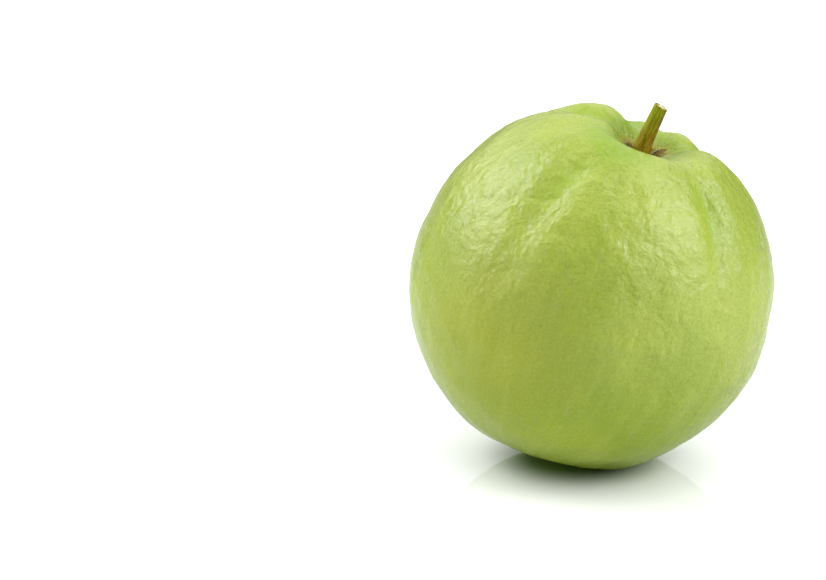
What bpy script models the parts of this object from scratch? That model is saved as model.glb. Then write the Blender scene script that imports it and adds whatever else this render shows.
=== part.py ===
"""A whole guava with its stem, lying on the small flat spot beside its blossom end.

Metres, +Z up. The origin is the middle of the flat spot, on the surface that the fruit rests on.
The fruit is shaped about its own axis, blossom end down and stem up, and then leaned over.
Every piece is placed in the fruit's own frame, whose origin is the middle of the round body.
"""

import math

import bmesh
import bpy
import numpy as np
from mathutils import Vector

MM = 0.001

# How the fruit lies
AXIS_LEAN = math.radians(19.7)  # from upright
AXIS_HEADING = math.radians(-17.6)  # the side that it leans to, counted from +X
MIDDLE_HEIGHT = 0.0486  # of the round body's middle, above the resting surface
FLAT_EDGE = 0.0003  # half the height over which the flat spot rounds into the skin

# The fruit
BODY_RADIUS = 0.0500
DIMPLE_DEPTH = 0.0073  # the wide hollow round the stem
DIMPLE_RADIUS = 0.0145
DIMPLE_FORM = 2.2  # power in its bell curve: above 2, flatter in the middle
WELL_DEPTH = 0.0080  # the narrow well in its middle, where the stem stands
WELL_RADIUS = 0.0050
WELL_FORM = 5
BASIN_DEPTH = 0.0045  # the hollow of the blossom end
BASIN_RADIUS = 0.0100
FURROW_ROOT = 0.0080  # nearer the axis than this a furrow keeps its angle, not its width
STEM_SEAT = (math.radians(1.5), math.radians(8))  # the lobes and furrows fade in between these
FURROW_RISE = math.radians(15)  # the turn of polar angle over which a furrow comes in
FURROW_START = math.radians(18)  # polar angle at which the furrows start to fade out
RING_CROWDING = 0.36  # how much closer the rings of vertices stand at both ends

# Furrows between the lobes: azimuth in degrees, depth and width in millimetres, and the polar
# angles in degrees by which each one has come in and faded out. A negative depth is a ridge.
FURROWS = (
    (-127, 2.3, 3.0, 44, 98),
    (-117, -0.6, 2.0, 56, 84),
    (-104, 0.6, 3.0, 48, 78),
    (-58, 2.4, 2.7, 38, 96),
    (-43, -0.6, 3.0, 24, 66),
    (14, 3.4, 3.8, 0, 46),
    (70, 2.2, 3.2, 0, 56),
    (99, 2.1, 3.0, 0, 58),
    (152, 3.8, 4.0, 0, 56),
    (-165, 0.5, 4.0, 0, 58),
)

# Broad swellings and flats of the body: azimuth, polar angle and spread in degrees, rise in mm
SWELLINGS = (
    (131, 23, 12.5, 1.1),
    (92, 20, 7, -1.4),
    (64, 19, 8, 1.2),
    (34, 29.5, 10, -2.1),
    (-12, 16, 11, 2.4),
    (-78, 10, 7.5, -1.9),
    (-124, 11, 7, -2.7),
    (-172, 12, 7.5, 2.0),
    (151, 41, 8, 0.8),
    (174, 76, 24, -1.1),
    (-6, 76, 14, -1.0),
    (-18, 119, 14, -0.8),
    (-40, 147, 7, 0.6),
    (-80, 160, 15, -1.3),
    (60, 110, 25, 0.8),
    (120, 75, 20, -0.7),
)

# The stem
STEM_FOOT = 0.0355  # height above the middle of the body
STEM_TIP = 0.0540
STEM_RADIUS = 0.00185
STEM_TAPER = 0.00040  # how much thicker its foot is than its tip
STEM_FOOT_ASIDE = 0.0003  # how far its foot and its tip stand off the axis
STEM_TIP_ASIDE = 0.0002
STEM_HOLLOW = 0.0002  # of the cut face, below its edge
STEM_RINGS = 16

# The two scales at the stem's foot: azimuth and twist in degrees, width, then foot, elbow and
# tip, each as (distance from the axis, height above the middle of the body)
BRACTS = {
    "bract_right": (-16, 40, 0.0026, (0.0030, 0.0375), (0.0033, 0.0420), (0.0058, 0.0437)),
    "bract_left": (-160, -10, 0.0050, (0.0033, 0.0380), (0.0036, 0.0405), (0.0052, 0.0416)),
}
BRACT_THICKNESS = 0.0005
BRACT_CUP = 0.25  # rise of its long edges, as a share of its half width

# The dried calyx at the blossom end
CALYX_GAP = 0.0003
DISC_RADIUS = 0.0026
DISC_THICKNESS = 0.0009
STYLE_RADIUS = 0.0005
STYLE_LENGTH = 0.0020
SEPAL_COUNT = 5
SEPAL_ROOT = 0.0029
SEPAL_REACH = 0.0064
SEPAL_CURL = 0.0004  # how far its tip stands up from the basin's slope
SEPAL_WIDTH = 0.0050
SEPAL_THICKNESS = 0.0006
SEPAL_CUP = -0.15
SEPAL_TURN = 0.3  # of the whole ring of them, as a share of one sepal's turn

BLADE_SHOULDER = 1.6  # above 1 a scale or sepal is widest nearer its foot

GREEN = (0.42, 0.55, 0.10)
STEM_OLIVE = (0.20, 0.22, 0.03)
DRY_TAN = (0.38, 0.24, 0.07)
DRY_BROWN = (0.10, 0.045, 0.015)


def clear_scene():
    for old in list(bpy.data.objects):
        bpy.data.objects.remove(old, do_unlink=True)


def fruit_frame():
    """An empty in the middle of the round body, turned so that its Z is the fruit's axis."""
    axis = Vector((math.cos(AXIS_HEADING), math.sin(AXIS_HEADING), 1 / math.tan(AXIS_LEAN)))
    frame = bpy.data.objects.new("fruit_frame", None)
    frame.location = (0, 0, MIDDLE_HEIGHT)
    frame.rotation_mode = "QUATERNION"
    frame.rotation_quaternion = Vector((0, 0, 1)).rotation_difference(axis)
    bpy.context.scene.collection.objects.link(frame)
    bpy.context.view_layer.update()
    return frame


def material(name, colour, roughness):
    made = bpy.data.materials.new(name)
    made.use_nodes = True
    shader = made.node_tree.nodes["Principled BSDF"]
    shader.inputs["Base Color"].default_value = (*colour, 1)
    shader.inputs["Roughness"].default_value = roughness
    shader.inputs["Metallic"].default_value = 0
    return made


def solid(name, frame, sides, bands, place, finish):
    """A closed piece: a UV sphere whose vertices are moved to place(u, v).

    u runs from 0 at the sphere's top pole to 1 at its bottom pole, and v is the turn about Z."""
    shape = bmesh.new()
    bmesh.ops.create_uvsphere(shape, u_segments=sides, v_segments=bands, radius=1)
    ball = np.array([vertex.co for vertex in shape.verts])
    u = np.arctan2(np.hypot(ball[:, 0], ball[:, 1]), ball[:, 2]) / math.pi
    v = np.arctan2(ball[:, 1], ball[:, 0])
    for vertex, point in zip(shape.verts, place(u, v)):
        vertex.co = point
    mesh = bpy.data.meshes.new(name)
    shape.to_mesh(mesh)
    shape.free()
    mesh.shade_smooth()
    mesh.materials.append(finish)
    piece = bpy.data.objects.new(name, mesh)
    piece.parent = frame
    bpy.context.scene.collection.objects.link(piece)
    return piece


def smoothstep(low, high, x):
    t = np.clip((x - low) / (high - low), 0, 1)
    return t * t * (3 - 2 * t)


def skin_height(radius):
    """Height of the unfurrowed skin at the stem end, at a distance from the axis."""
    dimple = DIMPLE_DEPTH * np.exp(-((radius / DIMPLE_RADIUS) ** DIMPLE_FORM))
    well = WELL_DEPTH * np.exp(-((radius / WELL_RADIUS) ** WELL_FORM))
    return np.sqrt(BODY_RADIUS**2 - radius**2) - dimple - well


def skin_drop(radius):
    """Depth of the unfurrowed skin at the blossom end, at a distance from the axis."""
    basin = BASIN_DEPTH * np.clip(1 - (radius / BASIN_RADIUS) ** 2, 0, 1) ** 2
    return np.sqrt(BODY_RADIUS**2 - radius**2) - basin


def furrow_depth(polar, azimuth):
    """How far the furrows sink the skin: a bell across each one, fading in and out along it."""
    radius = BODY_RADIUS * np.sin(polar)
    depth = np.zeros_like(polar)
    for place, deep, width, full, reach in FURROWS:
        turn = (azimuth - math.radians(place) + math.pi) % (2 * math.pi) - math.pi
        across = turn * np.maximum(radius, FURROW_ROOT) / (width * MM)
        along = smoothstep(math.radians(full) - FURROW_RISE, math.radians(full), polar)
        along *= 1 - smoothstep(FURROW_START, math.radians(reach), polar)
        depth += deep * MM * along * np.exp(-0.5 * across**2)
    return depth


def swelling(polar, azimuth):
    """How far the broad swellings raise the skin: a round bell about each one's middle."""
    rise = np.zeros_like(polar)
    for place, tilt, spread, high in SWELLINGS:
        tilt = math.radians(tilt)
        nearness = np.cos(polar) * math.cos(tilt)
        nearness += np.sin(polar) * math.sin(tilt) * np.cos(azimuth - math.radians(place))
        rise += high * MM * np.exp((nearness - 1) / (1 - math.cos(math.radians(spread))))
    return rise


def turned_skin(polar):
    """Distance from the axis and height of the unfurrowed skin at a polar angle."""
    radius = BODY_RADIUS * np.sin(polar)
    return radius, np.where(polar < math.pi / 2, skin_height(radius), -skin_drop(radius))


def flatten(points, frame):
    """Lift what lies below the resting surface up to it, with a soft edge."""
    turn = np.array(frame.matrix_world.to_3x3())
    centre = np.array(frame.matrix_world.translation)
    world = points @ turn.T + centre
    z = world[:, 2]
    soft = (z + FLAT_EDGE) ** 2 / (4 * FLAT_EDGE)
    world[:, 2] = np.where(z > FLAT_EDGE, z, np.where(z < -FLAT_EDGE, 0, soft))
    return (world - centre) @ turn


def fruit(frame, finish):
    """The skin: a turned outline with closer rings at both ends, moved along its normal."""

    def place(u, v):
        polar = math.pi * u - RING_CROWDING * np.sin(2 * math.pi * u)
        radius, height = turned_skin(polar)
        step = 1e-4
        radius_on, height_on = turned_skin(np.clip(polar + step, 0, math.pi))
        radius_back, height_back = turned_skin(np.clip(polar - step, 0, math.pi))
        along = np.hypot(radius_on - radius_back, height_on - height_back)
        sink = furrow_depth(polar, v) - swelling(polar, v)
        sink *= smoothstep(*STEM_SEAT, polar)
        radius = radius + sink * (height_on - height_back) / along
        height = height - sink * (radius_on - radius_back) / along
        return flatten(np.stack([radius * np.cos(v), radius * np.sin(v), height], axis=1), frame)

    return solid("fruit", frame, 72, 48, place, finish)


def stem(frame, finish):
    """A round stalk with a faintly hollow cut end, thicker towards its foot."""
    edge_ring, foot_ring = 2, STEM_RINGS - 2

    def place(u, v):
        ring = np.round(u * STEM_RINGS)
        run = np.clip((ring - edge_ring) / (foot_ring - edge_ring), 0, 1)
        radius = STEM_RADIUS + STEM_TAPER * run
        radius *= np.interp(ring, [0, 1, edge_ring, foot_ring, STEM_RINGS], [0, 0.7, 1, 1, 0])
        height = STEM_TIP + (STEM_FOOT - STEM_TIP) * run - STEM_HOLLOW * (ring < edge_ring)
        aside = STEM_TIP_ASIDE + (STEM_FOOT_ASIDE - STEM_TIP_ASIDE) * run
        return np.stack([radius * np.cos(v) - aside, radius * np.sin(v), height], axis=1)

    return solid("stem", frame, 24, STEM_RINGS, place, finish)


def blade(u, v, azimuth, twist, foot, elbow, tip, half_width, half_thickness, cup):
    """A pointed scale: a flat oval section carried along a bent line from its tip to its foot.

    foot, elbow and tip are (distance from the axis, height). twist turns the section about the
    line, and cup lifts its long edges."""
    t = (1 - u)[:, None]
    foot, elbow, tip = (np.array(end) for end in (foot, elbow, tip))
    line = foot * (1 - t) ** 2 + elbow * 2 * t * (1 - t) + tip * t**2
    run = (elbow - foot) * (1 - t) + (tip - elbow) * t
    run /= np.hypot(run[:, :1], run[:, 1:])
    fullness = np.abs(np.sin(math.pi * u**BLADE_SHOULDER)) ** 0.6
    wide = half_width * fullness
    thick = half_thickness * fullness
    flat = wide * np.cos(v)
    deep = thick * np.sin(v) + cup * wide * np.cos(v) ** 2
    sideways = flat * math.cos(twist) - deep * math.sin(twist)
    inward = deep * math.cos(twist) + flat * math.sin(twist)
    outwards = np.array([math.cos(azimuth), math.sin(azimuth), 0])
    across = np.array([-math.sin(azimuth), math.cos(azimuth), 0])
    up = np.array([0, 0, 1])
    radius = line[:, 0] - inward * run[:, 1]
    height = line[:, 1] + inward * run[:, 0]
    return radius[:, None] * outwards + sideways[:, None] * across + height[:, None] * up


def bracts(frame, finish):
    for name, (azimuth, twist, width, *line) in BRACTS.items():
        turned = math.radians(azimuth), math.radians(twist)

        def place(u, v):
            return blade(u, v, *turned, *line, width / 2, BRACT_THICKNESS / 2, BRACT_CUP)

        solid(name, frame, 12, 12, place, finish)


def calyx_disc(frame, finish):
    """A low corky button that follows the bottom of the basin."""

    def place(u, v):
        radius = DISC_RADIUS * np.abs(np.sin(math.pi * u)) ** 0.5
        thick = DISC_THICKNESS / 2 * (1 - np.cos(math.pi * u))
        height = -skin_drop(radius) - CALYX_GAP - thick
        return np.stack([radius * np.cos(v), radius * np.sin(v), height], axis=1)

    return solid("calyx_disc", frame, 20, 8, place, finish)


def style_stub(frame, finish):
    """The dried foot of the style, standing out from the disc."""
    top = -skin_drop(0) - 2 * CALYX_GAP - DISC_THICKNESS

    def place(u, v):
        radius = STYLE_RADIUS * np.abs(np.sin(math.pi * u)) ** 0.5
        height = top - STYLE_LENGTH * u
        return np.stack([radius * np.cos(v), radius * np.sin(v), height], axis=1)

    return solid("style_stub", frame, 8, 8, place, finish)


def sepals(frame, finish):
    """Five dried lobes that lie on the basin's slope, from the disc outwards."""
    lift = 2 * CALYX_GAP + SEPAL_THICKNESS / 2
    middle = (SEPAL_ROOT + SEPAL_REACH) / 2
    foot = (SEPAL_ROOT, -skin_drop(SEPAL_ROOT) - lift)
    elbow = (middle, -skin_drop(middle) - lift)
    tip = (SEPAL_REACH, -skin_drop(SEPAL_REACH) - lift - SEPAL_CURL)
    for index in range(SEPAL_COUNT):
        azimuth = 2 * math.pi * (index + SEPAL_TURN) / SEPAL_COUNT

        def place(u, v):
            width, thickness = SEPAL_WIDTH / 2, SEPAL_THICKNESS / 2
            return blade(u, v, azimuth, 0, foot, elbow, tip, width, thickness, SEPAL_CUP)

        solid(f"sepal_{index + 1}", frame, 10, 8, place, finish)


def main():
    clear_scene()
    frame = fruit_frame()
    fruit(frame, material("guava_skin", GREEN, 0.42))
    stem(frame, material("stem_bark", STEM_OLIVE, 0.6))
    bracts(frame, material("dry_scale", DRY_TAN, 0.75))
    dried = material("dried_calyx", DRY_BROWN, 0.85)
    calyx_disc(frame, dried)
    style_stub(frame, dried)
    sepals(frame, dried)


main()
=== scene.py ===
"""A whole guava with its stem: the finish of its skin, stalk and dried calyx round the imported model.

Metres, +Z up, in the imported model's frame. The fruit is shaped about its own axis: the origin is
the middle of the round body and Z runs from the blossom end to the stem. to_model() carries what
is worked out there into the model's frame. Noise lengths and reliefs are in millimetres.
"""

import math

import bpy
import numpy as np
from mathutils import Matrix, Vector


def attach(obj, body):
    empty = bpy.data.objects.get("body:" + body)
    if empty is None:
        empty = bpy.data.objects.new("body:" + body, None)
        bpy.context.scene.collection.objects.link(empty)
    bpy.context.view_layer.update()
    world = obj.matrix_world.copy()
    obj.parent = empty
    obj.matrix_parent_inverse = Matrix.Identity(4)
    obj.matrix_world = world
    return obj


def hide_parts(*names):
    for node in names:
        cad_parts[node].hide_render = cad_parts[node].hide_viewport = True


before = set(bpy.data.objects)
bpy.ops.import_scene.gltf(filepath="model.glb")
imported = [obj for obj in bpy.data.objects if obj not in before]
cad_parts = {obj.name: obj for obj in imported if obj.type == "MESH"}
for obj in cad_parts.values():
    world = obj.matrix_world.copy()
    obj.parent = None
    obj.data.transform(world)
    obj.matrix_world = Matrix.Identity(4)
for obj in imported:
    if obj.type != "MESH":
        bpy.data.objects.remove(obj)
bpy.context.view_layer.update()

MM = 0.001
FULL_TURN = 2 * math.pi

# How the fruit lies, as in the model
AXIS_LEAN = math.radians(19.7)
AXIS_HEADING = math.radians(-17.6)
MIDDLE = Vector((0, 0, 0.0486))
FLAT_EDGE = 0.0003
AXIS = Vector((math.cos(AXIS_HEADING), math.sin(AXIS_HEADING), 1 / math.tan(AXIS_LEAN)))
FRUIT_TURN = Vector((0, 0, 1)).rotation_difference(AXIS)

# The body's outline, as in the model
BODY_RADIUS = 0.0500
DIMPLE_DEPTH = 0.0073
DIMPLE_RADIUS = 0.0145
DIMPLE_FORM = 2.2
WELL_DEPTH = 0.0080
WELL_RADIUS = 0.0050
WELL_FORM = 5
BASIN_DEPTH = 0.0045
BASIN_RADIUS = 0.0100
FURROW_ROOT = 0.0080
FURROW_START = math.radians(18)  # where the furrows start to fade out
FURROW_RISE = math.radians(15)  # over how much they come in
STEM_SEAT = (math.radians(1.5), math.radians(8))

# Furrows, as in the model: azimuth in degrees, depth and width in mm, and the polar angles in
# degrees by which it is full and where it has faded out
FURROWS = (
    (-127, 2.3, 3.0, 44, 98),
    (-117, -0.6, 2.0, 56, 84),
    (-104, 0.6, 3.0, 48, 78),
    (-58, 2.4, 2.7, 38, 96),
    (-43, -0.6, 3.0, 24, 66),
    (14, 3.4, 3.8, 0, 46),
    (70, 2.2, 3.2, 0, 56),
    (99, 2.1, 3.0, 0, 58),
    (152, 3.8, 4.0, 0, 56),
    (-165, 0.5, 4.0, 0, 58),
)

# Swellings, as in the model: azimuth, polar angle and spread in degrees, rise in mm
SWELLINGS = (
    (131, 23, 12.5, 1.1),
    (92, 20, 7, -1.4),
    (64, 19, 8, 1.2),
    (34, 29.5, 10, -2.1),
    (-12, 16, 11, 2.4),
    (-78, 10, 7.5, -1.9),
    (-124, 11, 7, -2.7),
    (-172, 12, 7.5, 2.0),
    (151, 41, 8, 0.8),
    (174, 76, 24, -1.1),
    (-6, 76, 14, -1.0),
    (-18, 119, 14, -0.8),
    (-40, 147, 7, 0.6),
    (-80, 160, 15, -1.3),
    (60, 110, 25, 0.8),
    (120, 75, 20, -0.7),
)

# Patches of deeper green round the cavity, partly painted shade: azimuth, polar angle and
# spread in degrees, strength
GREEN_AND_SHADE_PATCHES = (
    (-118, 26, 9, 0.9),
    (-148, 20, 8, 0.6),
    # these two are painted shade on the cavity's left wall
    (99, 21, 7, 0.9),
    (118, 13, 6, 0.5),
)

# The skin's mesh
SKIN_GRID = (206, 480)  # rings and columns
STEM_END_CROWDING = 1.5  # how many times more rings per millimetre there are near the stem
STEM_END_POLAR = math.radians(24)
OUTLINE_STEPS = 4000  # the outline is measured in this many steps
SLOPE_STEP = 1e-4  # radians each way over which the outline's slope is taken

# The skin's relief: size of a noise cell and height in mm
UNDULATIONS = ((15, 0.40), (7, 0.24))
PUCKERS = ((4.6, 0.34), (2.8, 0.20))
PUCKER_SOFTNESS = 0.3
PUCKER_MEAN = 0.45
PUCKER_PATCH = 9  # size in mm of the patches that are more or less puckered
PUCKER_FADE = (math.radians(115), math.radians(70))  # polar angles where they grow towards the stem
SWIRL_CELL = 13
SWIRL_REACH = 3.2


# --- noise and small shaping functions -------------------------------------------------------


def smoothstep(low, high, x):
    """0 before low and 1 past high, and 3t^2 - 2t^3 between them; high may be the lower one."""
    t = np.clip((x - low) / (high - low), 0, 1)
    return t * t * (3 - 2 * t)


def gradient_noise(points, seed):
    """Smooth noise from about -1 to 1 at points (one row each), with cells one unit wide.

    Every corner of the unit lattice has a random direction. A point's value is the mean of its
    offsets from the eight corners round it, each measured along that corner's direction, weighted
    by the quintic fade 6t^5 - 15t^4 + 10t^3 on each axis, and 1.6 spreads it to the whole range."""
    draw = np.random.default_rng(seed)
    shuffle = draw.permutation(256)
    directions = draw.normal(size=(256, 3))
    directions /= np.linalg.norm(directions, axis=1)[:, None]
    cell = np.floor(points).astype(int)
    offset = points - cell
    fade = offset**3 * (offset * (offset * 6 - 15) + 10)
    total = np.zeros(len(points))
    for corner in np.ndindex(2, 2, 2):
        at = cell + corner
        pick = shuffle[(shuffle[(shuffle[at[:, 0] % 256] + at[:, 1]) % 256] + at[:, 2]) % 256]
        weight = np.prod(np.where(corner, fade, 1 - fade), axis=1)
        total += weight * np.sum(directions[pick] * (offset - corner), axis=1)
    return 1.6 * total


def puckers(points, seed):
    """Low swellings with narrow valleys between them: the distance of gradient noise from zero,
    rounded off at the bottoms of the valleys."""
    return np.sqrt(gradient_noise(points, seed) ** 2 + PUCKER_SOFTNESS**2)


def to_model(points):
    """Points of the fruit's own frame, in the model's frame."""
    return points @ np.array(FRUIT_TURN.to_matrix()).T + np.array(MIDDLE)


# --- meshes ----------------------------------------------------------------------------------


def closed_surface(name, grid, place, material, node, marks):
    """A closed mesh that stands for a node of the model: rings between two end points.

    place(u, v) gives points in the model's frame for arrays u, from 0 at the first end point to 1
    at the last, and v, the turn in radians. marks(u, v) gives named values for the shader. The
    faces are turned over if the volume that they enclose comes out negative."""
    rings, columns = grid
    inner = np.repeat(np.arange(1, rings) / rings, columns)
    u = np.concatenate([[0], inner, [1]])
    v = np.concatenate([[0], np.tile(np.arange(columns) * FULL_TURN / columns, rings - 1), [0]])
    points = place(u, v)

    column = np.arange(columns)
    onward = (column + 1) % columns
    starts = 1 + columns * np.arange(rings - 2)[:, None]
    corners = [starts + column, starts + columns + column]
    corners += [starts + columns + onward, starts + onward]
    quads = np.stack(corners, axis=-1).reshape(-1, 4)
    last = len(points) - 1
    first_fan = np.stack([np.zeros_like(column), 1 + column, 1 + onward], axis=1)
    last_fan = np.stack([np.full_like(column, last), last - columns + onward], axis=1)
    last_fan = np.column_stack([last_fan, last - columns + column])

    triangles = np.concatenate([quads[:, :3], quads[:, [0, 2, 3]], first_fan, last_fan])
    a, b, c = (points[triangles[:, corner]] for corner in range(3))
    if np.einsum("ij,ij->", a, np.cross(b, c)) < 0:
        quads, first_fan, last_fan = quads[:, ::-1], first_fan[:, ::-1], last_fan[:, ::-1]

    mesh = bpy.data.meshes.new(name)
    faces = quads.tolist() + first_fan.tolist() + last_fan.tolist()
    mesh.from_pydata(points.tolist(), [], faces)
    mesh.shade_smooth()
    for mark, values in marks(u, v).items():
        stored = mesh.attributes.new(mark, "FLOAT", "POINT")
        stored.data.foreach_set("value", values.astype(np.float32))
    mesh.materials.append(material)
    piece = bpy.data.objects.new(name, mesh)
    bpy.context.scene.collection.objects.link(piece)
    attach(piece, "root")
    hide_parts(node)


# --- shaders ---------------------------------------------------------------------------------


class Wire:
    """A value on its way between shader nodes: arithmetic with it adds Math nodes."""

    def __init__(self, finish, socket):
        self.finish = finish
        self.socket = socket

    def math(self, operation, *values):
        return self.finish.add("ShaderNodeMath", {"operation": operation}, dict(enumerate(values)))

    def __add__(self, other):
        return self.math("ADD", self, other)

    def __radd__(self, other):
        return self.math("ADD", other, self)

    def __sub__(self, other):
        return self.math("SUBTRACT", self, other)

    def __rsub__(self, other):
        return self.math("SUBTRACT", other, self)

    def __mul__(self, other):
        return self.math("MULTIPLY", self, other)

    def __rmul__(self, other):
        return self.math("MULTIPLY", other, self)

    def __abs__(self):
        return self.math("ABSOLUTE", self)

    def between(self, low, high):
        """0 below low and 1 above high, with a smooth step between them; high may be the lower."""
        settings = {"interpolation_type": "SMOOTHSTEP"}
        inputs = {"Value": self, "From Min": low, "From Max": high}
        return self.finish.add("ShaderNodeMapRange", settings, inputs)


class Finish:
    """A material with a Principled shader, and the nodes that feed it."""

    def __init__(self, name):
        self.material = bpy.data.materials.new(name)
        self.material.use_nodes = True
        self.tree = self.material.node_tree
        self.shader = self.tree.nodes["Principled BSDF"]

    def add(self, kind, settings=None, inputs=None, output=0):
        """A new node: first its settings, then the values or links of its inputs."""
        node = self.tree.nodes.new(kind)
        for name, value in (settings or {}).items():
            setattr(node, name, value)
        for name, value in (inputs or {}).items():
            self.feed(node, name, value)
        return Wire(self, node.outputs[output])

    def feed(self, node, name, value):
        """Links or sets one input of a node, by its name or number."""
        if isinstance(value, Wire):
            self.tree.links.new(value.socket, node.inputs[name])
        elif isinstance(value, tuple) and len(node.inputs[name].default_value) == 4:
            node.inputs[name].default_value = (*value, 1)
        else:
            node.inputs[name].default_value = value

    def shade(self, **inputs):
        """Sets the Principled shader's inputs: Base_Color=... stands for Base Color."""
        for name, value in inputs.items():
            self.feed(self.shader, name.replace("_", " "), value)

    def fruit_place(self, stretch=(1, 1, 1)):
        """Place in the fruit's own frame, in millimetres, each axis multiplied by stretch."""
        place = self.add("ShaderNodeTexCoord", output="Object")
        scale = tuple(MM / factor for factor in stretch)
        turned = {"Vector": place, "Location": MIDDLE, "Rotation": FRUIT_TURN.to_euler()}
        return self.add("ShaderNodeMapping", {"vector_type": "TEXTURE"}, {**turned, "Scale": scale})

    def reach(self, place, direction):
        """How far place lies in a direction."""
        settings, inputs = {"operation": "DOT_PRODUCT"}, {0: place, 1: direction}
        return self.add("ShaderNodeVectorMath", settings, inputs, "Value")

    def noise(self, place, cell, detail=2.0, roughness=0.5):
        """Noise from 0 to 1 with cells this many millimetres wide."""
        inputs = {"Vector": place, "Scale": 1 / cell, "Detail": detail, "Roughness": roughness}
        return self.add("ShaderNodeTexNoise", None, inputs)

    def dots(self, place, spacing, edge, cluster, shown):
        """Dots about spacing millimetres apart, in clusters about cluster millimetres wide.

        A dot lies where the distance from the middle of a Voronoi cell passes through edge, and
        it shows where a noise passes through shown."""
        distance = self.add("ShaderNodeTexVoronoi", None, {"Vector": place, "Scale": 1 / spacing})
        return distance.between(*edge) * self.noise(place, cluster).between(*shown)

    def mark(self, name):
        """A value stored on the mesh's points."""
        return self.add("ShaderNodeAttribute", {"attribute_name": name}, output="Fac")

    def mix(self, share, first, second):
        """One colour turned into another by share."""
        inputs = {0: share, 6: first, 7: second}
        return self.add("ShaderNodeMix", {"data_type": "RGBA"}, inputs, 2)

    def bump(self, height, distance):
        """A normal tilted by the slopes of height, whose 1 stands distance metres high."""
        return self.add("ShaderNodeBump", None, {"Height": height, "Distance": distance})


# --- the fruit's skin ------------------------------------------------------------------------


def skin_height(radius):
    """Height of the unfurrowed skin at the stem end: a ball, less a wide dimple and a well."""
    dimple = DIMPLE_DEPTH * np.exp(-((radius / DIMPLE_RADIUS) ** DIMPLE_FORM))
    well = WELL_DEPTH * np.exp(-((radius / WELL_RADIUS) ** WELL_FORM))
    return np.sqrt(BODY_RADIUS**2 - radius**2) - dimple - well


def skin_drop(radius):
    """Depth of the unfurrowed skin at the blossom end: a ball, less a shallow basin."""
    basin = BASIN_DEPTH * np.clip(1 - (radius / BASIN_RADIUS) ** 2, 0, 1) ** 2
    return np.sqrt(BODY_RADIUS**2 - radius**2) - basin


def turned_skin(polar):
    """Distance from the axis and height of the unfurrowed skin at a polar angle."""
    radius = BODY_RADIUS * np.sin(polar)
    return radius, np.where(polar < math.pi / 2, skin_height(radius), -skin_drop(radius))


def furrow_depth(polar, azimuth):
    """How far the furrows sink the skin: a bell across each one, fading in and out along it."""
    radius = BODY_RADIUS * np.sin(polar)
    depth = np.zeros_like(polar)
    for place, deep, width, full, reach in FURROWS:
        turn = (azimuth - math.radians(place) + math.pi) % FULL_TURN - math.pi
        across = turn * np.maximum(radius, FURROW_ROOT) / (width * MM)
        along = smoothstep(math.radians(full) - FURROW_RISE, math.radians(full), polar)
        along *= 1 - smoothstep(FURROW_START, math.radians(reach), polar)
        depth += deep * MM * along * np.exp(-0.5 * across**2)
    return depth


def bells(polar, azimuth, middles):
    """A sum of round bells over the skin, each about a place, with its spread and its height."""
    total = np.zeros_like(polar)
    for place, tilt, spread, high in middles:
        tilt = math.radians(tilt)
        nearness = np.cos(polar) * math.cos(tilt)
        nearness += np.sin(polar) * math.sin(tilt) * np.cos(azimuth - math.radians(place))
        total += high * np.exp((nearness - 1) / (1 - math.cos(math.radians(spread))))
    return total


def ring_polar(u):
    """Polar angles of the rings: evenly spaced along the outline, and closer near the stem."""
    polar = np.linspace(0, math.pi, OUTLINE_STEPS)
    radius, height = turned_skin(polar)
    step = np.hypot(np.diff(radius), np.diff(height))
    step *= np.where(polar[1:] < STEM_END_POLAR, STEM_END_CROWDING, 1)
    run = np.concatenate([[0], np.cumsum(step)])
    return np.interp(u, run / run[-1], polar)


def relief(points, polar):
    """Height of the skin's own relief: undulations, and puckers that swirl over the upper half.

    points are in the fruit's frame. A coarse noise drags the puckers along curved paths, and
    another one leaves some patches smoother than others."""
    high = np.zeros(len(points))
    for seed, (cell, height) in enumerate(UNDULATIONS):
        high += height * gradient_noise(points / (cell * MM), seed)
    coarse = points / (SWIRL_CELL * MM)
    drag = np.stack([gradient_noise(coarse, 21 + axis) for axis in range(3)], axis=1)
    dragged = points / MM + SWIRL_REACH * drag
    shown = 0.3 + 0.7 * smoothstep(*PUCKER_FADE, polar)
    shown *= 0.75 + 0.6 * gradient_noise(points / (PUCKER_PATCH * MM), 11)
    for seed, (cell, height) in enumerate(PUCKERS):
        high += height * shown * (puckers(dragged / cell, 31 + seed) - PUCKER_MEAN)
    return high * MM * smoothstep(*STEM_SEAT, polar)


def flatten(points):
    """Lifts what lies below the resting surface up to it, with a soft edge."""
    z = points[:, 2]
    soft = (z + FLAT_EDGE) ** 2 / (4 * FLAT_EDGE)
    points[:, 2] = np.where(z > FLAT_EDGE, z, np.where(z < -FLAT_EDGE, 0, soft))
    return points


def skin_points(u, v):
    """The skin: the turned outline, moved along its normal by swellings, furrows and relief."""
    polar = ring_polar(u)
    radius, height = turned_skin(polar)
    radius_on, height_on = turned_skin(np.clip(polar + SLOPE_STEP, 0, math.pi))
    radius_back, height_back = turned_skin(np.clip(polar - SLOPE_STEP, 0, math.pi))
    along = np.hypot(radius_on - radius_back, height_on - height_back)
    smooth = np.stack([radius * np.cos(v), radius * np.sin(v), height], axis=1)
    sink = furrow_depth(polar, v) - MM * bells(polar, v, SWELLINGS)
    sink = sink * smoothstep(*STEM_SEAT, polar) - relief(smooth, polar)
    radius = radius + sink * (height_on - height_back) / along
    height = height - sink * (radius_on - radius_back) / along
    return flatten(to_model(np.stack([radius * np.cos(v), radius * np.sin(v), height], axis=1)))


FURROW_FULL = 3  # a furrow this many mm deep has its full colour
FURROW_COLOUR_FADE = (math.radians(66), math.radians(48))


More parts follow.
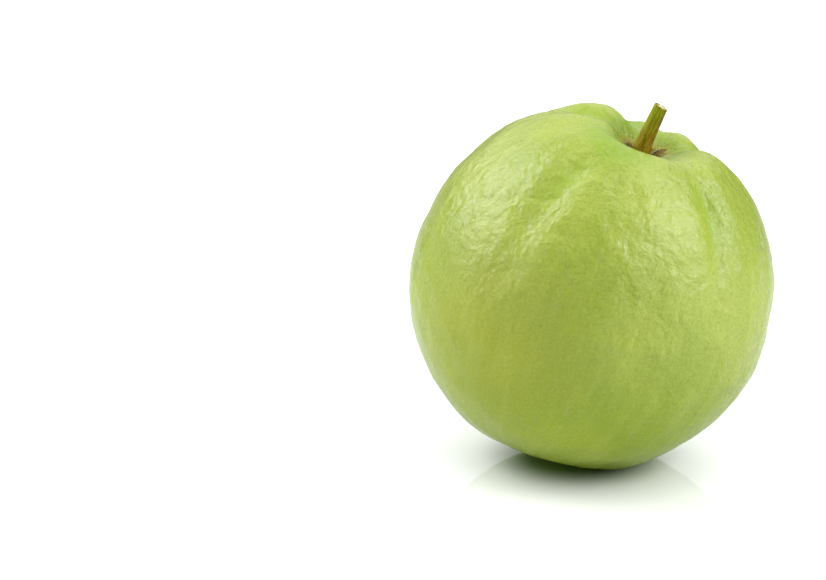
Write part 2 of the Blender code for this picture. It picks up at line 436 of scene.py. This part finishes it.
def skin_marks(u, v):
    """For the shader: the furrows' depth, the deep green patches, which are partly painted shade,
    the polar angle from 0 to 1, and the direction round."""
    polar = ring_polar(u)
    fading = smoothstep(*FURROW_COLOUR_FADE, polar)
    marks = {"furrow": furrow_depth(polar, v) / (FURROW_FULL * MM) * fading}
    marks |= {"polar": polar / math.pi, "patch": bells(polar, v, GREEN_AND_SHADE_PATCHES)}
    return marks | {"east": np.cos(v), "north": np.sin(v)}


# Colours of the skin; a name in the plural holds two, between which a noise shifts
LOWER_GREENS = (0.28, 0.375, 0.010), (0.34, 0.425, 0.014)
UPPER_GREENS = (0.30, 0.380, 0.052), (0.355, 0.430, 0.066)
# painted yellow bounce light and shade on one side of the fruit
PAINTED_BOUNCE_YELLOW = (0.37, 0.37, 0.004)
PALE_STREAK, DEEP_STREAK = (0.46, 0.53, 0.10), (0.24, 0.34, 0.02)
PALE_MOTTLE, DEEP_MOTTLE = (0.46, 0.54, 0.10), (0.20, 0.30, 0.012)
FURROW_GREEN = (0.25, 0.38, 0.015)
PATCH_GREEN_AND_SHADE = (0.22, 0.35, 0.010)
# partly the skin's own green, partly painted shade in the recess round the stem
CAVITY_GREEN_AND_SHADE = (0.19, 0.27, 0.008)
WELL_OCHRE = (0.29, 0.25, 0.008)
WELL_BROWNS = (0.05, 0.022, 0.004), (0.20, 0.13, 0.012)
WELL_SPECK = (0.07, 0.04, 0.008)
FRECKLE = (0.10, 0.13, 0.01)

# Where a finish starts and where it is full, as polar angles from 0 at the stem to 1 at the
# blossom end
UPPER_HALF = (0.68, 0.40)
STEM_END = (0.34, 0.10)
# where the cavity's green and painted shade come in
CAVITY_TINT_AND_SHADE = (0.11, 0.06)
SPECKED = (0.085, 0.055)
OCHRE_RING = (0.062, 0.042)
WELL = (0.036, 0.027)

PAINTED_BOUNCE_SIDE = (-0.55, -0.80, -0.20)  # the side of the fruit where yellow bounce light and shade are painted
PAINTED_BOUNCE_REACH = (43, 60)  # where the painted bounce light starts and is full, in mm towards that side
FINE_SWIRL_CELL = 12  # the noise that drags wrinkles and mottling along curved paths, in mm
FINE_SWIRL_REACH = 6
STREAKS_ROUND = 16  # noise cells per radian round the fruit
STREAKS_DOWN = 5  # noise cells from end to end
WRINKLE_HEIGHT = 0.00040


def swirled_place(finish, place):
    """Place, dragged along curved paths by a coarse noise."""
    inputs = {"Vector": place, "Scale": 1 / FINE_SWIRL_CELL, "Detail": 1}
    drag = finish.add("ShaderNodeTexNoise", None, inputs, "Color")
    inputs = {0: drag, 1: (FINE_SWIRL_REACH,) * 3, 2: place}
    return finish.add("ShaderNodeVectorMath", {"operation": "MULTIPLY_ADD"}, inputs)


def skin_streaks(finish, place):
    """Noise that is drawn out from the stem to the blossom end, and wavers a little."""
    down = finish.mark("polar") * STREAKS_DOWN + (finish.noise(place, 9) - 0.5) * 1.5
    east, north = finish.mark("east") * STREAKS_ROUND, finish.mark("north") * STREAKS_ROUND
    drawn_out = finish.add("ShaderNodeCombineXYZ", None, {"X": east, "Y": north, "Z": down})
    return finish.noise(drawn_out, 1, detail=3, roughness=0.6)


def green_skin(finish, place, swirled, streaks):
    """Yellow-green, paler above, with a painted yellow bounce light and shade on one side, streaked
    from end to end and mottled, with deeper green furrows and patches, some of them painted shade."""
    tone = finish.noise(place, 26, detail=2).between(0.35, 0.65)
    lower, upper = finish.mix(tone, *LOWER_GREENS), finish.mix(tone, *UPPER_GREENS)
    colour = finish.mix(finish.mark("polar").between(*UPPER_HALF), lower, upper)
    # painted yellow bounce light and shade on one side
    painted_bounce = finish.reach(place, PAINTED_BOUNCE_SIDE) + finish.noise(place, 9, detail=3) * 12
    colour = finish.mix(painted_bounce.between(*PAINTED_BOUNCE_REACH) * 0.5, colour, PAINTED_BOUNCE_YELLOW)
    colour = finish.mix(streaks.between(0.48, 0.68) * 0.21, colour, PALE_STREAK)
    colour = finish.mix(streaks.between(0.48, 0.32) * 0.18, colour, DEEP_STREAK)
    mottle = finish.noise(swirled, 0.7, detail=3, roughness=0.65)
    colour = finish.mix(mottle.between(0.50, 0.3) * 0.5, colour, DEEP_MOTTLE)
    colour = finish.mix(mottle.between(0.50, 0.7) * 0.35, colour, PALE_MOTTLE)
    colour = finish.mix(finish.mark("furrow").between(0.1, 0.8) * 0.6, colour, FURROW_GREEN)
    # the deep green patches, partly painted shade in the cavity
    patch = finish.mark("patch") * (finish.noise(place, 4, detail=2) * 0.6 + 0.7)
    return finish.mix(patch.between(0.0, 1.1), colour, PATCH_GREEN_AND_SHADE)


def cavity_skin(finish, place, colour, well, polar):
    """Deeper green in the cavity, partly painted shade in the recess, then an ochre ring with dark
    specks round the brown well.
    """
    # deeper green in the cavity: partly the skin's own colour, partly painted shade
    colour = finish.mix(polar.between(*CAVITY_TINT_AND_SHADE) * 0.75, colour, CAVITY_GREEN_AND_SHADE)
    colour = finish.mix(polar.between(*OCHRE_RING) * 0.85, colour, WELL_OCHRE)
    brown = finish.mix(finish.noise(place, 1.1, detail=3).between(0.42, 0.62), *WELL_BROWNS)
    colour = finish.mix(well, colour, brown)
    specks = finish.dots(place, 0.9, (0.30, 0.16), 2.5, (0.45, 0.56))
    return finish.mix(specks * polar.between(*SPECKED), colour, WELL_SPECK)


def skin_relief(finish, swirled, streaks):
    """Fine wrinkles over broader ones, both stronger on the upper half, and low ridges that run
    into the cavity."""
    wrinkles = finish.noise(swirled, 1.7, detail=3, roughness=0.62)
    wrinkles += finish.noise(swirled, 3.6, detail=1) * 1.5
    wrinkles *= 0.3 + finish.mark("polar").between(*UPPER_HALF) * 0.7
    ridges = streaks * finish.mark("polar").between(*STEM_END) * 0.8
    return finish.bump(wrinkles + ridges, WRINKLE_HEIGHT)


def skin_finish():
    """Waxy skin: green with a brown well round the stem, a few dark freckles, and a gloss that
    its wrinkles break up. The well is dull."""
    finish = Finish("guava_skin")
    place = finish.fruit_place()
    swirled, streaks = swirled_place(finish, place), skin_streaks(finish, place)
    polar = finish.mark("polar") + (finish.noise(place, 1.5, detail=3) - 0.5) * 0.02
    well = polar.between(*WELL)
    colour = green_skin(finish, place, swirled, streaks)
    colour = cavity_skin(finish, place, colour, well, polar)
    freckles = finish.dots(place, 2.6, (0.10, 0.05), 5, (0.45, 0.6))
    colour = finish.mix(freckles * 0.55, colour, FRECKLE)
    finish.shade(Base_Color=colour, Normal=skin_relief(finish, swirled, streaks))
    finish.shade(Roughness=well * 0.5 + 0.22, IOR=1.45)
    finish.shade(Subsurface_Weight=0.25, Subsurface_Scale=0.004, Subsurface_Radius=(0.8, 1.0, 0.25))
    return finish.material


def skin():
    """The fruit's skin, which stands for the whole fruit."""
    material, slot = skin_finish(), "guava_skin"
    closed_surface("skin", SKIN_GRID, skin_points, material, "fruit", skin_marks)


# --- the stalk -------------------------------------------------------------------------------

STALK_GRID = (120, 120)
STALK_FOOT = 0.0338  # heights in the fruit's frame; the foot stands in the bottom of the well
STALK_TIP = 0.0540
STALK_RADIUS = 0.00185
STALK_TAPER = 0.00070  # how much thicker its foot is than its tip
STALK_COLLAR = 0.00025  # the swollen ring where the stalk joins the fruit
STALK_COLLAR_RUN = 0.36  # how far up it lies and how far it spreads, as shares of the stalk
STALK_COLLAR_SPREAD = 0.07
STALK_FOOT_ASIDE = 0.0006  # how far to the left its foot and its tip stand
STALK_TIP_ASIDE = 0.0002
STALK_BOW = 0.0004  # how far its middle bends to the left
STALK_RIB = 0.00009  # height of the fine ribs along it, and of the waves up and down it
STALK_WAVE = 0.00008
STALK_BREADTH = 1.9  # millimetres from its middle to its side, for its colours
STALK_RUSSET_SIDE = (0.91, -0.42, 0)  # the side of the stalk that has gone reddish brown
CUT_SHARE = 0.22  # of the rings lie on the cut face
CUT_SLANT = 0.00035  # the cut is this much higher on the left than in the middle
CUT_HOLLOW = 0.00045  # how deep its middle is, and how ragged its rim
CUT_RAG = 0.00022

# Colours of the stalk; a name in the plural holds two, between which a noise shifts
BARK_GREENS = (0.15, 0.17, 0.003), (0.27, 0.30, 0.008)
BARK_OCHRES = (0.19, 0.12, 0.003), (0.34, 0.26, 0.008)
# a painted highlight along one side of the stalk
PAINTED_BARK_HIGHLIGHT = (0.42, 0.40, 0.05)
BARK_RUSSET = (0.17, 0.065, 0.02)
BARK_SPECK = (0.045, 0.02, 0.005)
PITHS = (0.50, 0.45, 0.25), (0.74, 0.70, 0.52)
PITH_RIM = (0.13, 0.09, 0.04)


def stalk_run(u):
    """How far up the stalk a ring is, from 0 at the foot to 1 at the cut, and on the cut face
    how far out, from 0 in its middle to 1 at its rim."""
    return np.clip((1 - u) / (1 - CUT_SHARE), 0, 1), np.clip(u / CUT_SHARE, 0, 1)


def stalk_points(u, v):
    """A round stalk with fine ribs along it, a swollen foot and a ragged, slightly hollow cut."""
    run, out = stalk_run(u)
    height = STALK_FOOT + (STALK_TIP - STALK_FOOT) * run
    ring = np.stack([np.cos(v), np.sin(v), np.zeros_like(v)], axis=1)
    along = height[:, None] * (0, 0, 1)
    radius = STALK_RADIUS + STALK_TAPER * (1 - run)
    radius += STALK_COLLAR * np.exp(-(((run - STALK_COLLAR_RUN) / STALK_COLLAR_SPREAD) ** 2))
    ribs = gradient_noise(ring * 4.2 + along * 110, 51)
    ribs += 0.5 * gradient_noise(ring * 9 + along * 260, 52)
    radius += STALK_RIB * ribs
    radius += STALK_WAVE * gradient_noise(ring * 0.9 + along * 300, 53)
    rag = gradient_noise(ring * out[:, None] * 5 + 9, 54) * smoothstep(0.2, 0.9, out)
    face = CUT_RAG * rag - CUT_HOLLOW * smoothstep(1.0, 0.55, out) * (0.7 + 0.3 * np.cos(out * 9))
    height = height + np.where(run < 1, 0, face) - CUT_SLANT * np.cos(v) * out * smoothstep(0.9, 1, run)
    radius = radius * np.where(run < 1, 1, out) * smoothstep(0, 0.02, run) ** 0.5
    aside = STALK_FOOT_ASIDE + (STALK_TIP_ASIDE - STALK_FOOT_ASIDE) * run
    aside += STALK_BOW * np.sin(math.pi * run)
    return to_model(np.stack([radius * np.cos(v) - aside, radius * np.sin(v), height], axis=1))


def stalk_marks(u, v):
    """For the shader: how far up the stalk a point is, and whether it is on the cut face."""
    run, out = stalk_run(u)
    return {"run": run, "face": np.where(run < 1, 0, 1 - smoothstep(0.80, 0.95, out))}


def stalk_finish():
    """Olive bark that turns ochre and brown downwards, reddish along one side, with a painted
    highlight along the other, dark specks, and a pale cut end that is brown along its rim."""
    finish = Finish("stem_bark")
    place = finish.fruit_place()
    run, face = finish.mark("run"), finish.mark("face")
    fibre = finish.noise(finish.fruit_place((1, 1, 0.10)), 0.35, detail=3)
    blotch = finish.noise(place, 1.6, detail=3)
    across = finish.reach(place, STALK_RUSSET_SIDE) * (1 / STALK_BREADTH)

    green = finish.mix(fibre.between(0.35, 0.65), *BARK_GREENS)
    ochre = finish.mix(fibre.between(0.38, 0.58), *BARK_OCHRES)
    lower = (run + (blotch - 0.5) * 0.7).between(0.88, 0.52)
    bark = finish.mix(lower, green, ochre)
    # a painted highlight along the side away from the reddish one
    pale = (across + (fibre - 0.5)).between(-0.35, -0.9)
    bark = finish.mix(pale * 0.25, bark, PAINTED_BARK_HIGHLIGHT)
    russet = (across + (blotch - 0.5) * 0.7).between(0.45, 0.85)
    bark = finish.mix(russet * run.between(0.2, 0.5) * 0.8, bark, BARK_RUSSET)
    specks = finish.dots(place, 0.6, (0.32, 0.16), 1.2, (0.46, 0.56))
    bark = finish.mix(specks * lower, bark, BARK_SPECK)
    pith = finish.mix(finish.noise(place, 0.4).between(0.35, 0.6), *PITHS)
    pith = finish.mix(abs(across).between(0.45, 0.85), pith, PITH_RIM)
    colour = finish.mix(face, bark, pith)

    normal = finish.bump(fibre * 0.8 + finish.noise(place, 0.2) * 0.2, 0.00012)
    finish.shade(Base_Color=colour, Normal=normal, Roughness=0.65, Specular_IOR_Level=0.1)
    finish.shade(Subsurface_Weight=0.1, Subsurface_Scale=0.001, Subsurface_Radius=(1.0, 0.8, 0.3))
    return finish.material


def stalk():
    """The cut stalk, its foot sunk into the bottom of the well."""
    material, slot = stalk_finish(), "stem_bark"
    closed_surface("stalk", STALK_GRID, stalk_points, material, "stem", stalk_marks)


# --- dry scales and the calyx ----------------------------------------------------------------

# azimuth and twist in degrees, width, then foot, elbow and tip as distance from the axis and height
SCALES = {
    "scale_right": ("bract_right", -16, 40, 0.0026, (0.0028, 0.0372), (0.0031, 0.0420), (0.0056, 0.0437)),
    "scale_left": ("bract_left", -160, -10, 0.0062, (0.0030, 0.0376), (0.0034, 0.0404), (0.0052, 0.0416)),
}
SCALE_GRID = (60, 48)
SCALE_THICKNESS = 0.00035
SCALE_CUP = 0.35
SCALE_CRUMPLE = 0.00025
BLADE_SHOULDER = 1.6  # above 1, a blade is widest nearer its foot than its tip
BLADE_RAGGED = 0.22

CALYX_GAP = 0.0002
BUTTON_GRID = (60, 96)
BUTTON_RADIUS = 0.0027
BUTTON_THICKNESS = 0.0009
BUTTON_GROOVE = 0.00018
BUTTON_GROOVE_OUT = 0.6  # how far out the groove lies and how far it spreads, in button radii
BUTTON_GROOVE_SPREAD = 0.14
BUTTON_LUMP = 0.00008
STYLE_GRID = (40, 32)
STYLE_RADIUS = 0.00045
STYLE_LENGTH = 0.0022
STYLE_LEAN = 0.0004
LOBE_GRID = (48, 48)
LOBE_COUNT = 5
LOBE_ROOT = 0.0026
LOBE_REACH = 0.0064
LOBE_CURL = 0.0004
LOBE_WIDTH = 0.0052
LOBE_THICKNESS = 0.00045
LOBE_CUP = -0.18
LOBE_CRUMPLE = 0.0003
LOBE_LIFT = 0.0003  # how much further from the basin than the button they lie
LOBE_SHORTER = 0.0004  # every second one is this much shorter
LOBE_TURN = 0.3

# Colours of a dry piece: its middle, its veins and its edge
TAN_SCALE = (0.52, 0.38, 0.13), (0.30, 0.19, 0.05), (0.055, 0.022, 0.008)
BROWN_CALYX = (0.17, 0.095, 0.035), (0.09, 0.045, 0.016), (0.035, 0.016, 0.007)


def blade(u, v, azimuth, twist, line, width, thickness, cup, crumple, seed):
    """A dry scale: a flat oval section carried along a bent line from its tip to its foot.

    line holds foot, elbow and tip, each as (distance from the axis, height). The section is
    turned by twist, its long edges are lifted by cup, and noise crumples the whole by crumple."""
    t = (1 - u)[:, None]
    foot, elbow, tip = (np.array(end) for end in line)
    centre = foot * (1 - t) ** 2 + elbow * 2 * t * (1 - t) + tip * t**2
    run = (elbow - foot) * (1 - t) + (tip - elbow) * t
    run /= np.hypot(run[:, :1], run[:, 1:])
    edge = np.stack([np.cos(v) * 1.3, u * 4, np.zeros_like(u)], axis=1)
    fullness = np.abs(np.sin(math.pi * u**BLADE_SHOULDER)) ** 0.6
    wide = width / 2 * fullness * (1 + BLADE_RAGGED * gradient_noise(edge * 1.7, seed))
    flat = wide * np.cos(v)
    buckle = crumple * fullness * gradient_noise(edge * (1, 0.8, 1) + 0.5, seed + 1)
    buckle += 0.4 * crumple * fullness * gradient_noise(edge * 3, seed + 2)
    deep = thickness / 2 * fullness * np.sin(v) + cup * wide * np.cos(v) ** 2 + buckle
    sideways = flat * math.cos(twist) - deep * math.sin(twist)
    inward = deep * math.cos(twist) + flat * math.sin(twist)
    outwards = np.array([math.cos(azimuth), math.sin(azimuth), 0])
    across = np.array([-math.sin(azimuth), math.cos(azimuth), 0])
    radius = centre[:, 0] - inward * run[:, 1]
    height = centre[:, 1] + inward * run[:, 0]
    points = radius[:, None] * outwards + sideways[:, None] * across + height[:, None] * (0, 0, 1)
    return to_model(points)


def blade_marks(u, v):
    """How near a point is to the blade's edge or tip: 0 along its middle, 1 at the edge."""
    return {"edge": np.maximum(np.abs(np.cos(v)), smoothstep(0.35, 0.05, u))}


def dry_finish(name, middle, vein, edge):
    """A dry papery scale: a paler middle with fine lengthwise veins, and a dark edge."""
    finish = Finish(name)
    place = finish.fruit_place()
    fibre = finish.noise(finish.fruit_place((1, 1, 0.25)), 0.3, detail=3)
    blotch = finish.noise(place, 0.9, detail=3)
    colour = finish.mix(fibre.between(0.4, 0.62), vein, middle)
    rim = (finish.mark("edge") + (blotch - 0.5) * 0.9).between(0.62, 0.92)
    colour = finish.mix(rim, colour, edge)
    normal = finish.bump(fibre * 0.7 + finish.noise(place, 0.15) * 0.3, 0.00010)
    finish.shade(Base_Color=colour, Normal=normal, Roughness=0.62, IOR=1.4)
    return finish.material


def scales():
    """The dry scale right of the stalk's foot and the one left of it."""
    material = dry_finish("dry_scale", *TAN_SCALE)
    for index, (name, (node, azimuth, twist, width, *line)) in enumerate(SCALES.items()):
        turned = math.radians(azimuth), math.radians(twist)

        def place(u, v):
            sizes = width, SCALE_THICKNESS, SCALE_CUP, SCALE_CRUMPLE
            return blade(u, v, *turned, line, *sizes, 61 + 5 * index)

        closed_surface(name, SCALE_GRID, place, material, node, blade_marks)


def round_marks(u, v):
    """The button and the style have no edge."""
    return {"edge": np.zeros_like(u)}


def calyx_button(material):
    """A low corky disc in the bottom of the basin, grooved round its middle."""

    def place(u, v):
        out = np.abs(np.sin(math.pi * u)) ** 0.5
        ring = np.stack([np.cos(v) * out, np.sin(v) * out, u], axis=1)
        lump = gradient_noise(ring * 3, 71) + 0.5 * gradient_noise(ring * 8, 72)
        radius = BUTTON_RADIUS * out * (1 + 0.05 * gradient_noise(ring * 2.2, 73))
        thick = BUTTON_THICKNESS / 2 * (1 - np.cos(math.pi * u))
        groove = np.exp(-(((out - BUTTON_GROOVE_OUT) / BUTTON_GROOVE_SPREAD) ** 2))
        lift = (BUTTON_LUMP * lump - BUTTON_GROOVE * groove) * (u > 0.5) * smoothstep(0.5, 0.8, u)
        height = -skin_drop(radius) - CALYX_GAP - thick - lift
        return to_model(np.stack([radius * np.cos(v), radius * np.sin(v), height], axis=1))

    slot, node = "dried_calyx", "calyx_disc"
    closed_surface("calyx_button", BUTTON_GRID, place, material, node, round_marks)


def style_tip(material):
    """The withered foot of the style: a thin bent peg with a knobbed end."""
    top = -skin_drop(0) - BUTTON_THICKNESS

    def place(u, v):
        radius = STYLE_RADIUS * np.abs(np.sin(math.pi * u)) ** 0.4 * (0.8 + 0.35 * u**3)
        ring = np.stack([np.cos(v), np.sin(v), 6 * u], axis=1)
        radius = radius * (1 + 0.25 * gradient_noise(ring * 1.5, 75))
        height = top - STYLE_LENGTH * u
        points = [radius * np.cos(v) + STYLE_LEAN * u**2, radius * np.sin(v), height]
        return to_model(np.stack(points, axis=1))

    slot, node = "dried_calyx", "style_stub"
    closed_surface("style_tip", STYLE_GRID, place, material, node, round_marks)


def calyx_lobes(material):
    """Five withered lobes on the basin's slope, from the button outwards, each a little unlike."""
    lift = CALYX_GAP + LOBE_THICKNESS / 2 + LOBE_LIFT
    middle = (LOBE_ROOT + LOBE_REACH) / 2
    for index in range(LOBE_COUNT):
        azimuth = FULL_TURN * (index + LOBE_TURN) / LOBE_COUNT
        reach = LOBE_REACH - LOBE_SHORTER * (index % 2)
        foot = (LOBE_ROOT, -skin_drop(LOBE_ROOT) - lift)
        elbow = (middle, -skin_drop(middle) - lift)
        line = foot, elbow, (reach, -skin_drop(reach) - lift - LOBE_CURL)

        def place(u, v):
            sizes = LOBE_WIDTH, LOBE_THICKNESS, LOBE_CUP, LOBE_CRUMPLE
            return blade(u, v, azimuth, 0, line, *sizes, 81 + 3 * index)

        name, node = f"calyx_lobe_{index + 1}", f"sepal_{index + 1}"
        closed_surface(name, LOBE_GRID, place, material, node, blade_marks)


def calyx():
    """The dried calyx in the basin at the blossom end."""
    material = dry_finish("dried_calyx", *BROWN_CALYX)
    calyx_button(material)
    style_tip(material)
    calyx_lobes(material)


# --- stage -----------------------------------------------------------------------------------

CAMERA_ELEVATION = math.radians(15)
CAMERA_LENS = 90
CAMERA_SENSOR = 36
ASIDE = 0.973  # body radii by which the fruit's middle stands right of the view's centre
ABOVE = 0.019  # and above it
BODY_IN_VIEW = 0.2209  # the body's radius as a share of the view's width


def camera():
    """The camera looks along +Y and down, with the fruit right of the middle of the view."""
    made = bpy.data.cameras.new("camera")
    made.lens = CAMERA_LENS
    made.sensor_width = CAMERA_SENSOR
    holder = bpy.data.objects.new("camera", made)
    bpy.context.scene.collection.objects.link(holder)
    back = Vector((0, -math.cos(CAMERA_ELEVATION), math.sin(CAMERA_ELEVATION)))
    right = Vector((1, 0, 0))
    up = back.cross(right)
    distance = CAMERA_LENS / CAMERA_SENSOR * BODY_RADIUS / BODY_IN_VIEW
    shift = right * ASIDE + up * ABOVE
    holder.location = MIDDLE + back * distance - shift * BODY_RADIUS
    holder.rotation_euler = Matrix((right, up, back)).transposed().to_euler()
    bpy.context.scene.camera = holder


# Lamps: azimuth from the camera's side towards the right and elevation, in degrees; distance,
# width and height in metres; brightness of the surface
SOFTBOXES = {
    "left_box": (-114, 45, 3.0, 2.4, 2.1, 4.3),
    "left_wall": (-98, 24, 3.0, 3.6, 2.4, 1.45),
    "right_box": (66, 38, 3.0, 1.0, 1.7, 6.0),
    "right_wall": (66, 28, 3.0, 4.4, 3.2, 2.1),
    "overhead": (-40, 76, 3.0, 2.6, 2.0, 0.8),
    "front_wall": (-72, 14, 3.0, 3.0, 2.4, 0.8),
    "front_fill": (-30, 12, 3.0, 2.4, 2.0, 0.7),
    "high_back": (120, 64, 3.0, 2.2, 1.8, 2.4),
    "backdrop": (180, 30, 3.0, 3.8, 2.2, 0.8),
}


def softboxes():
    """White rectangles that face the fruit; a lamp's power is its brightness x pi x its area."""
    for name, (azimuth, elevation, distance, width, height, bright) in SOFTBOXES.items():
        made = bpy.data.lights.new(name, "AREA")
        made.shape = "RECTANGLE"
        made.size, made.size_y = width, height
        made.energy = bright * math.pi * width * height
        holder = bpy.data.objects.new(name, made)
        bpy.context.scene.collection.objects.link(holder)
        turn, rise = math.radians(azimuth), math.radians(elevation)
        level = math.cos(rise)
        away = Vector((math.sin(turn) * level, -math.cos(turn) * level, math.sin(rise)))
        holder.location = MIDDLE + away * distance
        holder.rotation_euler = away.to_track_quat("Z", "Y").to_euler()
        holder.visible_camera = False


FLOOR_HALF = 6.0
FLOOR_LEVEL = -0.0003  # just under the flat spot, so that the two faces don't lie in one plane
FLOOR_WHITE = (0.66, 0.69, 0.68)
# a painted contact shadow, green as a painted reflection of the fruit's underside
PAINTED_FLOOR_SHADOW = (0.14, 0.23, 0.05)
SHADE_MIDDLE = (-0.003, 0, 0)  # the painted shadow is darkest and the painted glow weakest round this point
FLOOR_SHADE = (0.028, 0.012)  # metres from there over which the painted dark green shadow comes in
FLOOR_GLOWS = (0.4, 0.012, 0.048), (0.6, 0.050, 0.095)  # share of the painted glow, its start and its end


def floor():
    """A pale glossy floor, with a painted dark green shadow and reflection of the fruit's underside
    round its contact. It glows for the camera alone, a painted light that grows outwards, so that
    it runs into the white all round without an edge."""
    mesh = bpy.data.meshes.new("floor")
    corners = [(-1, -1), (1, -1), (1, 1), (-1, 1)]
    points = [(x * FLOOR_HALF, y * FLOOR_HALF, FLOOR_LEVEL) for x, y in corners]
    mesh.from_pydata(points, [], [(0, 1, 2, 3)])
    finish = Finish("floor_white")
    place = finish.add("ShaderNodeTexCoord", output="Object")
    settings, ends = {"operation": "DISTANCE"}, {0: place, 1: SHADE_MIDDLE}
    away = finish.add("ShaderNodeVectorMath", settings, ends, "Value")
    seen = finish.add("ShaderNodeLightPath", output="Is Camera Ray")
    # painted light: the floor glows for the camera, more the further it is from the fruit
    near, far = (away.between(start, full) * share for share, start, full in FLOOR_GLOWS)
    glow = finish.mix((near + far) * seen, (0, 0, 0), (1, 1, 1))
    # the painted contact shadow and reflection round the fruit
    colour = finish.mix(away.between(*FLOOR_SHADE), FLOOR_WHITE, PAINTED_FLOOR_SHADOW)
    finish.shade(Base_Color=colour, Roughness=0.06, IOR=1.45)
    finish.shade(Emission_Color=glow, Emission_Strength=1.0)
    mesh.materials.append(finish.material)
    made = bpy.data.objects.new("floor", mesh)
    bpy.context.scene.collection.objects.link(made)


WORLD_SEEN = 1.0  # brightness of the surroundings, for the camera
WORLD_LIGHT = 0.08  # and as a light on the fruit


def studio():
    """White all round where the camera looks past the fruit, and a faint fill light elsewhere."""
    made = bpy.data.worlds.new("studio")
    made.use_nodes = True
    nodes, links = made.node_tree.nodes, made.node_tree.links
    rays = nodes.new("ShaderNodeLightPath")
    pick = nodes.new("ShaderNodeMapRange")
    pick.inputs["To Min"].default_value = WORLD_LIGHT
    pick.inputs["To Max"].default_value = WORLD_SEEN
    links.new(rays.outputs["Is Camera Ray"], pick.inputs["Value"])
    links.new(pick.outputs["Result"], nodes["Background"].inputs["Strength"])
    nodes["Background"].inputs["Color"].default_value = (1, 1, 1, 1)
    bpy.context.scene.world = made
    bpy.context.scene.view_settings.view_transform = "Standard"


camera()
skin()
stalk()
scales()
calyx()
floor()
softboxes()
studio()
